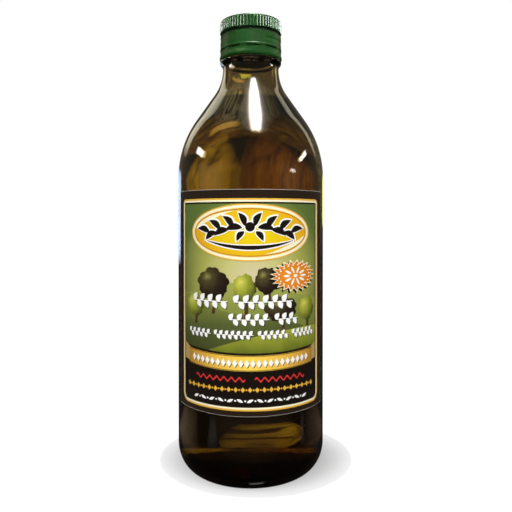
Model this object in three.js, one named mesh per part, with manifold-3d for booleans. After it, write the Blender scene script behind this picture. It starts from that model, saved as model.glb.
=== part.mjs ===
// A round one-litre bottle of olive oil: a dark glass bottle, the oil in it up to the neck, a rolled-on
// aluminium screw cap with its tamper band still joined, and a paper label round the front.
// Millimetres, +Z up. The origin is on the bottle's axis in the plane that it stands on, and the
// label faces -Y.
import * as THREE from "three";
import Module from "manifold-3d";
import { mergeVertices } from "three/addons/utils/BufferGeometryUtils.js";

// Driving sizes: a one-litre bottle is 86 mm across and stands 263.5 mm tall with its cap on.
const BODY_RADIUS = 43;
const TOTAL_HEIGHT = 263.5;
const WALL = 2.9;
const CLEARANCE = 0.3;
const ROUND_SIDES = 64;

// Foot: a flat standing ring round a pushed-up base, and a deep rounded heel.
const HEEL = { width: 12, height: 16, outerSteps: 6, innerSteps: 5 };
const FOOT_RING_WIDTH = 2.6;
const PUSH_UP = { height: 7, steps: 4 };
const BASE_THICKNESS = 5.6;
const INNER_HEEL = { width: 9.5, height: 12.5 };

// Shoulder and neck: one convex arc, a straight cone, and one concave arc into a straight neck.
const SHOULDER = { start: 171, radius: 58, outerSteps: 8, innerSteps: 6 };
const CONE_ANGLE = THREE.MathUtils.degToRad(35);
const NECK = { radius: 16.6, wall: 3.2, sweep: 28, outerSteps: 6, innerSteps: 4 };

// Finish: the bead that shows under the cap, and the plain land that the cap covers.
const CAP_BOTTOM = 240.2;
const BEAD = { radius: 18.2, flare: 3, land: 0.7 };
const FINISH_RADIUS = 17;
const RIM_TOP = 262.2;
const RIM_ROUNDING = 0.8;

// Oil, filled to the foot of the neck.
const OIL_LEVEL = 215.4;

// Cap: aluminium sheet with its liner, a knurled grip over a groove, a smooth skirt, and a lip and a
// bead above and below the slits of the tamper band.
const CAP = { radius: 18.1, wall: 0.6, disc: 1, edge: 1, edgeSteps: 3, sides: 72 };
const GRIP = { flutes: 72, radius: 18.4, depth: 0.35, top: 262.6, bottom: 256.2 };
const GROOVE = { top: 256, bottom: 254.4, depth: 0.45, flat: 0.5 };
const LIP = { middle: 246.7, half: 0.45, proud: 0.2 };
const BAND_BEAD = { middle: 241.9, flat: 0.7, half: 1, proud: 0.5 };
const SLIT = {
  count: 10,
  span: THREE.MathUtils.degToRad(24),
  first: THREE.MathUtils.degToRad(5),
  bottom: 245.3,
  height: 0.7,
  steps: 3,
};

// Label: a sheet that covers 24 of the bottle's 64 sides.
const LABEL = { sides: 24, bottom: 42.5, height: 119.6, gap: 0.05, thickness: 0.2 };

const point = (radius, height) => new THREE.Vector2(radius, height);

// Points along an ellipse from one angle to another, both ends included.
function arc(centre, across, up, from, to, steps) {
  return Array.from({ length: steps + 1 }, (_, i) => {
    const a = from + ((to - from) * i) / steps;
    return point(centre.x + across * Math.cos(a), centre.y + up * Math.sin(a));
  });
}

// A shallow dome from the axis out to its rim, which lies lower by the dome's height.
function dome(rim, rimHeight) {
  const sphere = (rim ** 2 + PUSH_UP.height ** 2) / (2 * PUSH_UP.height);
  const half = Math.asin(rim / sphere);
  return Array.from({ length: PUSH_UP.steps + 1 }, (_, i) => {
    const a = (half * i) / PUSH_UP.steps;
    return point(sphere * Math.sin(a), rimHeight + PUSH_UP.height - sphere * (1 - Math.cos(a)));
  });
}

// Shoulder and neck from the body up, each set in from the outside of the glass.
function shoulderAndNeck(bodyInset, neckInset, shoulderSteps, neckSteps) {
  const shoulderCentre = point(BODY_RADIUS - SHOULDER.radius, SHOULDER.start);
  const turnIn = 1 - Math.cos(CONE_ANGLE);
  const coneInward = BODY_RADIUS - NECK.radius - (SHOULDER.radius + NECK.sweep) * turnIn;
  const arcsUp = (SHOULDER.radius + NECK.sweep) * Math.sin(CONE_ANGLE);
  const neckFoot = SHOULDER.start + arcsUp + coneInward / Math.tan(CONE_ANGLE);
  const neckCentre = point(NECK.radius + NECK.sweep, neckFoot);
  const shoulder = SHOULDER.radius - bodyInset;
  const sweep = NECK.sweep + neckInset;
  return [
    ...arc(shoulderCentre, shoulder, shoulder, 0, CONE_ANGLE, shoulderSteps),
    ...arc(neckCentre, sweep, sweep, Math.PI + CONE_ANGLE, Math.PI, neckSteps),
  ];
}

function outerGlass() {
  const heelFoot = BODY_RADIUS - HEEL.width;
  const beadTop = CAP_BOTTOM - CLEARANCE;
  const beadEdge = beadTop - BEAD.land;
  return [
    ...dome(heelFoot - FOOT_RING_WIDTH, 0),
    ...arc(point(heelFoot, HEEL.height), HEEL.width, HEEL.height, -Math.PI / 2, 0, HEEL.outerSteps),
    ...shoulderAndNeck(0, 0, SHOULDER.outerSteps, NECK.outerSteps),
    point(NECK.radius, beadEdge - BEAD.flare),
    point(BEAD.radius, beadEdge),
    point(BEAD.radius, beadTop),
    point(FINISH_RADIUS, beadTop),
    point(FINISH_RADIUS, RIM_TOP - RIM_ROUNDING),
    point(FINISH_RADIUS - RIM_ROUNDING, RIM_TOP),
  ];
}

// The inside of the glass from the axis up to its neck, set in by a further gap.
function innerGlass(gap) {
  const radius = BODY_RADIUS - WALL;
  const floorRim = radius - INNER_HEEL.width;
  const heelCentre = point(floorRim, BASE_THICKNESS + INNER_HEEL.height);
  const [across, up] = [INNER_HEEL.width - gap, INNER_HEEL.height - gap];
  return [
    ...dome(floorRim, BASE_THICKNESS + gap),
    ...arc(heelCentre, across, up, -Math.PI / 2, 0, HEEL.innerSteps).slice(1),
    ...shoulderAndNeck(WALL + gap, NECK.wall + gap, SHOULDER.innerSteps, NECK.innerSteps),
  ];
}

// A profile of (radius, height) points turned round the Z axis.
function turned(profile, sides) {
  return new THREE.LatheGeometry(profile, sides).rotateX(Math.PI / 2);
}

function bottleGlass() {
  const bore = NECK.radius - NECK.wall;
  const mouth = [point(bore + RIM_ROUNDING, RIM_TOP), point(bore, RIM_TOP - RIM_ROUNDING)];
  return turned([...outerGlass(), ...mouth, ...innerGlass(0).reverse()], ROUND_SIDES);
}

function oliveOil() {
  const side = innerGlass(CLEARANCE);
  const above = side.findIndex((p) => p.x > 0 && p.y > OIL_LEVEL);
  const [a, b] = [side[above - 1], side[above]];
  const edge = a.clone().lerp(b, (OIL_LEVEL - a.y) / (b.y - a.y));
  return turned([...side.slice(0, above), edge, point(0, OIL_LEVEL)], ROUND_SIDES);
}

// A part of a flat ring, standing on the given height. Angles run from -Y towards +X.
function ringSector(inner, outer, from, to, steps, bottom, height) {
  const ring = (radius) => arc(point(0, 0), radius, radius, from - Math.PI / 2, to - Math.PI / 2, steps);
  const outline = new THREE.Shape([...ring(outer), ...ring(inner).reverse()]);
  return new THREE.ExtrudeGeometry(outline, { depth: height, bevelEnabled: false }).translate(0, 0, bottom);
}

function frontLabel() {
  const inner = BODY_RADIUS + LABEL.gap;
  const half = (LABEL.sides / ROUND_SIDES) * Math.PI;
  return ringSector(inner, inner + LABEL.thickness, -half, half, LABEL.sides, LABEL.bottom, LABEL.height);
}

function capShell() {
  const { radius, wall, disc, edge } = CAP;
  const skirtInside = radius - wall;
  const grooveMiddle = (GROOVE.top + GROOVE.bottom) / 2;
  return turned(
    [
      point(0, TOTAL_HEIGHT - disc),
      point(skirtInside, TOTAL_HEIGHT - disc),
      point(skirtInside, CAP_BOTTOM + 0.2),
      point(radius - 0.3, CAP_BOTTOM),
      point(radius + BAND_BEAD.proud, BAND_BEAD.middle - BAND_BEAD.flat),
      point(radius + BAND_BEAD.proud, BAND_BEAD.middle),
      point(radius, BAND_BEAD.middle + BAND_BEAD.half),
      point(radius, LIP.middle - LIP.half),
      point(radius + LIP.proud, LIP.middle),
      point(radius, LIP.middle + LIP.half),
      point(radius, GROOVE.bottom),
      point(radius - GROOVE.depth, grooveMiddle - GROOVE.flat / 2),
      point(radius - GROOVE.depth, grooveMiddle + GROOVE.flat / 2),
      point(radius, GROOVE.top),
      ...arc(point(radius - edge, TOTAL_HEIGHT - edge), edge, edge, 0, Math.PI / 2, CAP.edgeSteps),
      point(0, TOTAL_HEIGHT),
    ],
    CAP.sides,
  );
}

// The grip: a ring whose outline rises and falls once for each flute.
function knurledRing() {
  const outline = Array.from({ length: GRIP.flutes * 2 }, (_, i) => {
    const a = (i * Math.PI) / GRIP.flutes;
    const radius = i % 2 ? GRIP.radius - GRIP.depth : GRIP.radius;
    return point(radius * Math.cos(a), radius * Math.sin(a));
  });
  const ring = new THREE.Shape(outline);
  const bore = CAP.radius - CAP.wall / 2;
  ring.holes.push(new THREE.Path().absarc(0, 0, bore, 0, 2 * Math.PI, true));
  const options = { depth: GRIP.top - GRIP.bottom, bevelEnabled: false, curveSegments: CAP.sides / 2 };
  return new THREE.ExtrudeGeometry(ring, options).translate(0, 0, GRIP.bottom);
}

const wasm = await Module();
wasm.setup();

function solid(geometry) {
  const bare = geometry.clone();
  bare.deleteAttribute("normal");
  bare.deleteAttribute("uv");
  const merged = mergeVertices(bare, 1e-4);
  return new wasm.Manifold(
    new wasm.Mesh({
      numProp: 3,
      vertProperties: merged.attributes.position.array,
      triVerts: new Uint32Array(merged.index.array),
    }),
  );
}

function surface(body) {
  const { vertProperties, triVerts } = body.getMesh();
  return new THREE.BufferGeometry()
    .setAttribute("position", new THREE.BufferAttribute(vertProperties, 3))
    .setIndex(new THREE.BufferAttribute(triVerts, 1));
}

// The cap in one piece, with slits that leave narrow bridges between its skirt and its tamper band.
function screwCap() {
  let cap = solid(capShell()).add(solid(knurledRing()));
  const inside = CAP.radius - CAP.wall - 1;
  const outside = CAP.radius + 1;
  for (let i = 0; i < SLIT.count; i++) {
    const middle = SLIT.first + (i * 2 * Math.PI) / SLIT.count;
    const [from, to] = [middle - SLIT.span / 2, middle + SLIT.span / 2];
    const cutter = ringSector(inside, outside, from, to, SLIT.steps, SLIT.bottom, SLIT.height);
    cap = cap.subtract(solid(cutter));
  }
  return surface(cap);
}

const finishes = {
  glass: { color: 0x2f2a14, roughness: 0.05, metalness: 0, transparent: true, opacity: 0.8 },
  oil: { color: 0x6b5a12, roughness: 0.05, metalness: 0 },
  enamel: { color: 0x1f5a34, roughness: 0.3, metalness: 0.4 },
  paper: { color: 0x2b2a22, roughness: 0.5, metalness: 0 },
};

const bottle = new THREE.Group();
for (const [name, geometry, finish] of [
  ["bottle_glass", bottleGlass(), finishes.glass],
  ["olive_oil", oliveOil(), finishes.oil],
  ["screw_cap", screwCap(), finishes.enamel],
  ["front_label", frontLabel(), finishes.paper],
]) {
  const mesh = new THREE.Mesh(geometry, new THREE.MeshStandardMaterial(finish));
  mesh.name = name;
  bottle.add(mesh);
}

export default bottle;
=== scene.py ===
"""A one-litre bottle of olive oil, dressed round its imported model: glass, oil, cap and printed label."""

import math

import bmesh
import bpy
from mathutils import Matrix, Vector


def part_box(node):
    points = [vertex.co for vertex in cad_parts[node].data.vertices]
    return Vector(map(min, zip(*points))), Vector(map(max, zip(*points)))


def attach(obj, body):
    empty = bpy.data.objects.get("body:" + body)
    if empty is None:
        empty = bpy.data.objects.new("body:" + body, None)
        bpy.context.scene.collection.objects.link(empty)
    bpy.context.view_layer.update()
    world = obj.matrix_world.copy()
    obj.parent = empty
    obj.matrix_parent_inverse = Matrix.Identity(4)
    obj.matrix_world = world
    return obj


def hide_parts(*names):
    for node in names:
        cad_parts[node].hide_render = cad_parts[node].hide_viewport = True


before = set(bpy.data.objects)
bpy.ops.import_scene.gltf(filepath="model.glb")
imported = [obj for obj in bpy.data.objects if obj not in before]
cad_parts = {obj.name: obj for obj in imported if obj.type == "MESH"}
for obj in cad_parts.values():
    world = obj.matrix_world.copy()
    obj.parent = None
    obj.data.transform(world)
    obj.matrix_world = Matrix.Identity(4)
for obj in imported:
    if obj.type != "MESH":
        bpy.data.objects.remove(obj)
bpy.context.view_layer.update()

bl_info = {
    "name": "Olive Oil Bottle",
    "version": (1, 0, 0),
    "blender": (4, 5, 0),
    "location": "3D View > Sidebar > Oil Bottle",
    "description": "Makes the glass, oil, screw cap and printed label of a one-litre bottle of olive oil",
    "category": "Add Mesh",
}

MM = 0.001
BODY = "root"
_, GLASS_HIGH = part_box("bottle_glass")
_, OIL_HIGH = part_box("olive_oil")
CAP_LOW, CAP_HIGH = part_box("screw_cap")
LABEL_LOW, LABEL_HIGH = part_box("front_label")

# The bottle's form, in metres, as a maker's drawing gives it.
HEEL_WIDTH, HEEL_HEIGHT = 12 * MM, 16 * MM
FOOT_RING_WIDTH = 2.6 * MM
FLOOR_THICKNESS = 5.6 * MM
INNER_HEEL_WIDTH, INNER_HEEL_HEIGHT = 9.5 * MM, 12.5 * MM
SHOULDER_START, SHOULDER_RADIUS = 171 * MM, 58 * MM
CONE_ANGLE = math.radians(35)
NECK_RADIUS, NECK_WALL, NECK_SWEEP = 16.6 * MM, 3.2 * MM, 28 * MM
BEAD_RADIUS, BEAD_FLARE, BEAD_LAND, BEAD_ROUND = 18.2 * MM, 3 * MM, 0.7 * MM, 0.3 * MM
CAP_CLEARANCE = 0.3 * MM
FINISH_RADIUS, MOUTH_ROUND = 17 * MM, 0.8 * MM
OIL_INTO_WALL, CREEP_REACH = 0.15 * MM, 2.2 * MM
# How strongly a metre of each colours the light that goes through
GLASS_DENSITY, OIL_DENSITY = 300.0, 50.0
TURNED_SIDES, SKIRT_SIDES, BAND_SIDES = 192, 360, 216

# The cap's sheet: radius, thickness, the slit between skirt and band, and the groove under the grip
SHEET_RADIUS, SHEET = 18.1 * MM, 0.35 * MM
SLIT_TOP, SLIT_BOTTOM = 246.0 * MM, 245.3 * MM
SLIT_ANGLE, FIRST_SLIT = math.radians(24), math.radians(5)
GROOVE_TOP, GROOVE_BOTTOM, GROOVE_DEPTH = 256.3 * MM, 254.2 * MM, 0.65 * MM
# Heights between which the skirt's lacquer is painted dark as shade: the groove and the grip between its
# ridges
PAINTED_SHADE_LOW, PAINTED_SHADE_HIGH = 254.45 * MM, 262.6 * MM

# Label artwork is drawn flat, in metres along the bottle's curve and up its height.
LABEL_HALF_ANGLE = math.radians(67.5)
LABEL_BACK = 0.04 * MM
PAPER_THICKNESS = 0.08 * MM
INK_LAYER, INK_OVERLAP = 0.02 * MM, 1.3
LABEL_RADIUS = GLASS_HIGH.x + LABEL_BACK + PAPER_THICKNESS
STEP_ROUND = 1.6 * MM
SAME_POINT = 1e-7

# Half width, lower and upper edge of the gold frame and of the picture in it
LABEL_FRAME = (45.2 * MM, 45.4 * MM, 157.4 * MM)
PICTURE = (42.4 * MM, 66 * MM, 154.6 * MM)
# Middle and half sizes
BADGE = ((0, 139.4 * MM), 35.6 * MM, 15.2 * MM)
BURST = ((25.7 * MM, 116.1 * MM), 15.3 * MM, 8.8 * MM)
RIBBON_LEVEL, RIBBON_SAG, RIBBON_HEIGHT = 70.5 * MM, 1.1, 8.2 * MM
RIBBON_LEFT, RIBBON_RIGHT = -38 * MM, 38.6 * MM

PLAIN_INKS = {
    "white": "fffdf8",
    "cream": "fff4d2",
    "black": "17110e",
    "red": "d03434",
    "bark_brown": "4a3420",
    "warm_brown": "a8661c",
    "dull_gold": "b89e62",
    "dark_bronze": "6a4a1c",
}
PICTURE_SKY = ((0, "d2c6a0"), (0.3, "c6c27c"), (0.6, "a8aa54"), (0.85, "848c46"), (1, "5c7234"))
TREE_CROWN = ((0, "8a8648"), (0.22, "4c4426"), (0.6, "2c2118"), (1, "17110e"))
LIGHT_CROWN = ((0, "d6d25c"), (0.35, "a3a83a"), (0.75, "6d7428"), (1, "3d461c"))
BADGE_YELLOW = ((0, "ecd012"), (0.55, "e8c414"), (0.85, "e8b01c"), (1, "e2a022"))
BURST_ORANGE = ((0, "f09420"), (0.6, "e68a1c"), (1, "d87612"))
RIBBON_GOLD = ((0, "fcd85a"), (0.45, "f0c048"), (0.8, "cf9c3a"), (1, "a87c30"))

# The tables below give artwork in mm.
# Name, ink layer, colours from the ribbon upwards, and the skyline: height, slope, bow, and a wave's height,
# turn and start
GROVE_HILLS = (
    ("far_hill", 4, ((0, "4d5226"), (0.6, "7f8a3e"), (1, "a4a956")), (108, 0, 0, 5, 0.06, 1.9)),
    ("left_hill", 4.6, ((0, "30341a"), (0.5, "566030"), (0.8, "848d42")), (96, -0.22, 0, 1.5, 0.11, 0)),
    ("near_hill", 5.3, ((0, "2c2c16"), (0.22, "6a7426"), (0.55, "b2b83c")), (84, 0.24, -0.0035, 0, 0, 0)),
)
# Middle, half sizes, foot of the trunk, and whether the crown is light
GROVE_TREES = (
    (-21, 112, 9.5, 8.5, 96, False),
    (-3, 110, 6.0, 7.5, 94, True),
    (9, 114, 6.5, 7.0, 96, False),
    (17, 99, 9.5, 6.5, 86, False),
    (-33, 100, 6.5, 6.0, 90, True),
    (34, 98, 6.0, 6.5, 88, True),
)
# Base along and above the badge's middle, tilt in degrees, length, width
GARLAND_LEAVES = (
    (2.5, 3.4, 62, 8.0, 3.4),
    (4.0, 2.6, -8, 9.5, 3.6),
    (9.0, 2.4, 48, 8.5, 3.4),
    (11.5, 1.6, -22, 9.0, 3.6),
    (16.0, 1.4, 36, 8.5, 3.4),
    (18.5, 0.4, -34, 8.0, 3.4),
    (22.5, 0.0, 14, 8.5, 3.2),
    (3.0, 0.6, -52, 6.5, 3.0),
)
# Middle, height, and runs from left to right
TITLE_ROWS = (
    (102.8, 7.8, ((-33.7, -12.8), (-8.4, 23.0))),
    (93.5, 6.7, ((-11.0, 9.6), (13.6, 26.4))),
    (85.4, 4.9, ((-37.4, -22.4), (-19.6, 1.4), (4.4, 20.6), (23.6, 39.2))),
)

# The bottle's soft shade, painted on the floor as a dimmer glow round its foot: share of the way to its edge,
# and the board's glow there
FLOOR_REACH = 6.0
SHADE_MIDDLE, SHADE_SIZE = (3 * MM, 12 * MM), (69 * MM, 65 * MM)
FLOOR_GLOW = ((0.56, 0.42), (0.68, 0.57), (0.78, 0.72), (0.845, 0.80), (0.865, 1.0))
# Height of the direction, from straight down at 0, and the room's light there
ROOM_SKY = (
    (0.0, (0.012, 0.011, 0.010)),
    (0.47, (0.03, 0.028, 0.025)),
    (0.56, (0.17, 0.145, 0.105)),
    (1.0, (0.10, 0.10, 0.10)),
)
CAMERA_PLACE = (3.13 * MM, -338.1 * MM, 145.4 * MM)
CAMERA_TILT, CAMERA_SHIFT, CAMERA_LENS, CAMERA_SENSOR = 0.436, -0.06, 39.61, 36.0

# Colours of the room's cards, along a soft noise
CEILING = ((0.38, (0.05, 0.035, 0.01)), (0.48, (0.62, 0.5, 0.2)), (0.62, (1.0, 0.84, 0.42)))
ORANGE = ((0.3, (1.0, 0.45, 0.03)), (0.7, (1.0, 0.62, 0.10)))
WARM_GREY = ((0.3, (0.8, 0.74, 0.54)), (0.7, (1, 0.93, 0.68)))
SKY_BLUE = ((0.4, (0.32, 0.55, 1.0)), (0.6, (0.7, 0.85, 1.0)))
LEAF_GREEN = ((0.4, (0.9, 0.88, 0.08)), (0.6, (0.8, 0.95, 0.15)))
GREEN_PATCH = ((0.40, (0, 0, 0)), (0.46, (0.55, 0.6, 0.05)))
WHITE = ((0, (1, 1, 1)), (1, (1, 1, 1)))
OLIVE_ROOM = ((0.32, (0.16, 0.16, 0.05)), (0.48, (0.62, 0.68, 0.30)), (0.62, (0.85, 0.92, 0.42)))
AMBER_ROOM = ((0.35, (0.14, 0.07, 0.03)), (0.55, (0.4, 0.24, 0.12)), (0.7, (0.6, 0.40, 0.2)))
TABLE_TOP = ((0.34, (0.08, 0.07, 0.045)), (0.5, (0.36, 0.33, 0.18)), (0.66, (0.75, 0.66, 0.34)))
NEAR_TABLE = ((0.42, (0.10, 0.09, 0.04)), (0.47, (0.7, 0.8, 0.55)), (0.62, (1.1, 1.3, 1.0)))
PALE_FLOOR = ((0, (0.8, 0.78, 0.74)), (1, (1, 1, 1)))
BROWN_FLOOR = ((0.3, (0.3, 0.2, 0.12)), (0.7, (0.42, 0.3, 0.18)))

# Where cards and lamps point, and what the glass is made of
FRONT, MIDDLE, UPPER = (0, -0.043, 0.15), (0, 0, 0.13), (0, 0, 0.3)
SKIRT, GRIP = (0, 0, 0.25), (0, 0, 0.26)
GLASS = ("glass_bottle", "oil")
BOTH = {"seen": "both"}
# Cards that stand round the bottle and face it, by what they light: azimuth, distance and height, aim, width
# and height, strength, colours, and how the rest differs from a plain card
ROOM_CARDS = {
    GLASS: (
        ("left_strip", (-136, 0.6, 0.84), UPPER, (0.35, 1.14), 2.8, WARM_GREY, {"edge": 8}),
        ("right_strip", (128, 0.6, 0.84), UPPER, (0.15, 1.14), 2.0, WARM_GREY, {"edge": 8}),
        ("left_room", (-62, 0.8, 0.24), FRONT, (0.7, 0.3), 0.4, WARM_GREY, {"edge": 3}),
        ("right_room", (62, 0.8, 0.24), FRONT, (0.7, 0.3), 0.25, WARM_GREY, {"edge": 3}),
        ("left_sky", (-149, 0.6, 0.16), FRONT, (0.27, 0.17), 2.8, SKY_BLUE, {"grain": 0.06, "edge": 8}),
        ("right_green", (157, 0.6, 0.18), FRONT, (0.09, 0.09), 2.4, LEAF_GREEN, {"edge": 8}),
    ),
    (*GLASS, "cap_flutes"): (
        ("left_window", (-89, 0.6, 0.421), FRONT, (0.215, 0.07), 14.0, WHITE,
         {"roll": 0.12, "edge": 14, **BOTH}),
        ("right_window", (91.5, 0.6, 0.38), FRONT, (0.235, 0.045), 14.0, WHITE,
         {"roll": -0.26, "edge": 14, **BOTH}),
        ("small_window", (66.5, 0.6, 0.247), FRONT, (0.085, 0.036), 9.0, WHITE,
         {"roll": 0.2, "edge": 12, **BOTH}),
    ),
    ("cap_flutes",): (
        ("left_grip_lamp", (-94, 0.6, 0.48), GRIP, (0.17, 0.3), 30.0, WHITE, {"edge": 8, **BOTH}),
        ("right_grip_lamp", (98, 0.6, 0.48), GRIP, (0.24, 0.3), 44.0, WHITE, {"edge": 8, **BOTH}),
    ),
    ("cap_skirt", "cap_band"): (
        ("left_cap_room", (-108, 0.8, 0.52), SKIRT, (0.5, 0.6), 0.8, WARM_GREY, {}),
        ("right_cap_room", (112, 0.8, 0.52), SKIRT, (0.5, 0.6), 0.8, WARM_GREY, {}),
    ),
    ("cap_band",): (
        ("bead_glow", (-45, 0.4, 0.72), SKIRT, (0.3, 0.16), 7.0, WARM_GREY, {}),
    ),
}
# Cards behind the bottle, seen through it: azimuth, distance and height, size, strength, colours, the noise's
# grain and stretch, roll, and edge
BACK_CARDS = (
    ("back_right_room", (154, 1.0, 0.28), (0.84, 0.40), 2.0, OLIVE_ROOM, 0.16, (1, 2.6), 0.5, 9.0),
    ("back_left_room", (-160, 1.0, 0.28), (0.9, 0.42), 1.8, AMBER_ROOM, 0.12, (2.2, 1), -0.3, 4.0),
)
# Cards behind the bottle that lie flat, seen through its foot: the middle, and the same
TABLE_CARDS = (
    ("table_right", (0.45, 0.78, 0), (0.9, 0.9), 1.25, TABLE_TOP, 0.12, (1, 2.0), 0.35, 9.0),
    ("table_left", (-0.45, 0.78, 0), (0.9, 0.9), 0.8, TABLE_TOP, 0.12, (1, 2.0), -0.35, 6.0),
    ("table_near", (-0.0044, 0.079, 0.001), (0.0096, 0.025), 1.3, NEAR_TABLE, 0.003, (0.12, 1.6), 0, 4.0),
)
# Cards flat on the floor, seen as a shine on the heel: middle, width and length, strength, colours, roll
FLOOR_CARD_HEIGHT = 0.6 * MM
FLOOR_CARDS = (
    ("floor_left_streak", (-0.096, -0.082), (0.028, 0.06), 0.25, PALE_FLOOR, -1.03),
    ("floor_right_streak", (0.116, -0.037), (0.015, 0.06), 0.18, PALE_FLOOR, 1.5),
    ("floor_front", (0, -0.14), (0.3, 0.12), 0.35, BROWN_FLOOR, 0),
    ("floor_left_near", (-0.115, 0.012), (0.09, 0.09), 0.9, BROWN_FLOOR, 0),
    ("floor_right_near", (0.115, 0.018), (0.09, 0.09), 0.45, BROWN_FLOOR, 0),
    ("floor_ahead", (0, -0.28), (0.5, 0.14), 7.0, BROWN_FLOOR, 0),
    ("floor_left", (-0.26, 0), (0.14, 0.3), 1.8, BROWN_FLOOR, 0),
    ("floor_right", (0.26, 0), (0.14, 0.3), 1.8, BROWN_FLOOR, 0),
    ("floor_glint", (0.004, -0.0406), (0.010, 0.0025), 0.8, WHITE, 0),
)


def hex_colour(text):
    """An sRGB hex colour such as 1f5a34 as three linear numbers."""
    parts = [int(text[i:i + 2], 16) / 255 for i in (0, 2, 4)]
    return tuple(c / 12.92 if c <= 0.04045 else ((c + 0.055) / 1.055) ** 2.4 for c in parts)


def rgba(text):
    return (*hex_colour(text), 1.0)


def colour_property(name, description, text):
    return bpy.props.FloatVectorProperty(
        name=name, description=description, subtype="COLOR", size=3, min=0, max=1, default=hex_colour(text)
    )


def length_property(name, description, value):
    return bpy.props.FloatProperty(name=name, description=description, unit="LENGTH", default=value, min=0)


class BottleSizes(bpy.types.PropertyGroup):
    """Sizes that a user may change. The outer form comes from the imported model."""

    wall: length_property("Wall", "Thickness of the glass in the body", 2.9 * MM)
    push_up: length_property("Push-up", "Height of the dome under the base", 7 * MM)
    meniscus: length_property("Meniscus", "How far the oil climbs the glass at its edge", 0.3 * MM)
    flute_depth: length_property("Flute depth", "How far the cap's ridges stand out", 0.35 * MM)
    flutes: bpy.props.IntProperty(name="Flutes", description="Ridges round the cap's grip", default=64, min=8)
    bridges: bpy.props.IntProperty(
        name="Bridges", description="Bridges that hold the band", default=10, min=2
    )


class BottleColours(bpy.types.PropertyGroup):
    """Colours that a user may change."""

    glass: colour_property("Glass", "Tint of the glass", "c7af3f")
    oil: colour_property("Oil", "Tint of the oil", "d7c129")
    lacquer: colour_property("Lacquer", "The cap's lacquer", "1e501d")
    paper: colour_property("Label black", "The label's dark ground", "261c14")
    gold: colour_property("Gold", "The label's gold", "e8b440")


def add_node(tree, kind, inputs=(), **settings):
    """Adds a node with its settings. A node or socket among its inputs is linked, and a value is set."""
    node = tree.nodes.new(kind)
    for name, value in settings.items():
        setattr(node, name, value)
    for key, value in inputs.items() if isinstance(inputs, dict) else enumerate(inputs):
        if isinstance(value, bpy.types.Node):
            value = value.outputs[0]
        if isinstance(value, bpy.types.NodeSocket):
            tree.links.new(value, node.inputs[key])
        else:
            node.inputs[key].default_value = value
    return node


def add_object(name, data):
    made = bpy.data.objects.new(name, data)
    bpy.context.scene.collection.objects.link(made)
    return made


def new_material(name, **sockets):
    """A material with one Principled shader whose sockets take the given values."""
    material = bpy.data.materials.new(name)
    material.use_nodes = True
    tree = material.node_tree
    tree.nodes.clear()
    shader = add_node(
        tree, "ShaderNodeBsdfPrincipled", {key.replace("_", " "): value for key, value in sockets.items()}
    )
    output = add_node(tree, "ShaderNodeOutputMaterial", {"Surface": shader})
    return material, tree, shader, output


def set_stops(ramp, stops):
    """Gives a colour ramp its stops, as (position, linear colour)."""
    elements = ramp.color_ramp.elements
    while len(elements) < len(stops):
        elements.new(0.5)
    for element, (position, colour) in zip(elements, stops):
        element.position = position
        element.color = (*colour, 1)


def cloud_colour(tree, shader, low, high, size, detail):
    """Lets the colour wander between two in clouds of about the given size."""
    place = add_node(tree, "ShaderNodeTexCoord").outputs["Object"]
    cloud = add_node(tree, "ShaderNodeTexNoise", {"Vector": place, "Scale": 1 / size, "Detail": detail})
    tone = add_node(
        tree, "ShaderNodeMix", {"Factor": cloud, "A": (*low, 1), "B": (*high, 1)}, data_type="RGBA"
    )
    tree.links.new(tone.outputs["Result"], shader.inputs["Base Color"])


def ripple_surface(tree, shader, size, detail, strength, depth):
    """Ripples the surface in waves of about the given size."""
    place = add_node(tree, "ShaderNodeTexCoord").outputs["Object"]
    waves = add_node(tree, "ShaderNodeTexNoise", {"Vector": place, "Scale": 1 / size, "Detail": detail})
    bump = add_node(tree, "ShaderNodeBump", {"Height": waves, "Strength": strength, "Distance": depth})
    tree.links.new(bump.outputs["Normal"], shader.inputs["Normal"])


# Materials

def container_glass(colours):
    """Olive-brown soda-lime container glass, blown in a mould: smooth, with the faint waves of its inside."""
    material, tree, shader, output = new_material(
        "olive_brown_blown_container_glass",
        Base_Color=(1, 1, 1, 1), Roughness=0.012, IOR=1.52, Transmission_Weight=1.0,
    )
    ripple_surface(tree, shader, 22 * MM, 1.0, 0.12, 1.2 * MM)
    tint = {"Color": (*colours.glass, 1), "Density": GLASS_DENSITY}
    depth = add_node(tree, "ShaderNodeVolumeAbsorption", tint)
    tree.links.new(depth.outputs["Volume"], output.inputs["Volume"])
    return material


def olive_oil_liquid(colours):
    """Filtered olive oil: clear, golden green in a thin layer and brown-black through the whole bottle."""
    material, tree, _, output = new_material(
        "filtered_olive_oil", Base_Color=(1, 1, 1, 1), Roughness=0.0, IOR=1.467, Transmission_Weight=1.0
    )
    tint = {"Color": (*colours.oil, 1), "Density": OIL_DENSITY}
    depth = add_node(tree, "ShaderNodeVolumeAbsorption", tint)
    tree.links.new(depth.outputs["Volume"], output.inputs["Volume"])
    return material


def lacquered_aluminium(colours, name, metallic, roughness, coat, coat_roughness, waves=0.0, shade=1.0):
    """Rolled aluminium under green stoving lacquer, with the slight unevenness of the rollers."""
    material, tree, shader, _ = new_material(
        name, Metallic=metallic, Roughness=roughness, Coat_Weight=coat, Coat_Roughness=coat_roughness
    )
    low = [0.82 * shade * c for c in colours.lacquer]
    high = [min(1.0, 1.15 * shade * c) for c in colours.lacquer]
    cloud_colour(tree, shader, low, high, 6 * MM, 3.0)
    if waves:
        ripple_surface(tree, shader, 0.9 * MM, 2.0, waves, 0.2 * MM)
    return material


def satin_lacquer(colours):
    """On the smooth skirt and band: satin, with a little of the metal showing through."""
    return lacquered_aluminium(
        colours, "green_lacquered_rolled_aluminium",
        metallic=0.3, roughness=0.4, coat=0.12, coat_roughness=0.15, waves=0.06, shade=0.78,
    )


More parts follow.
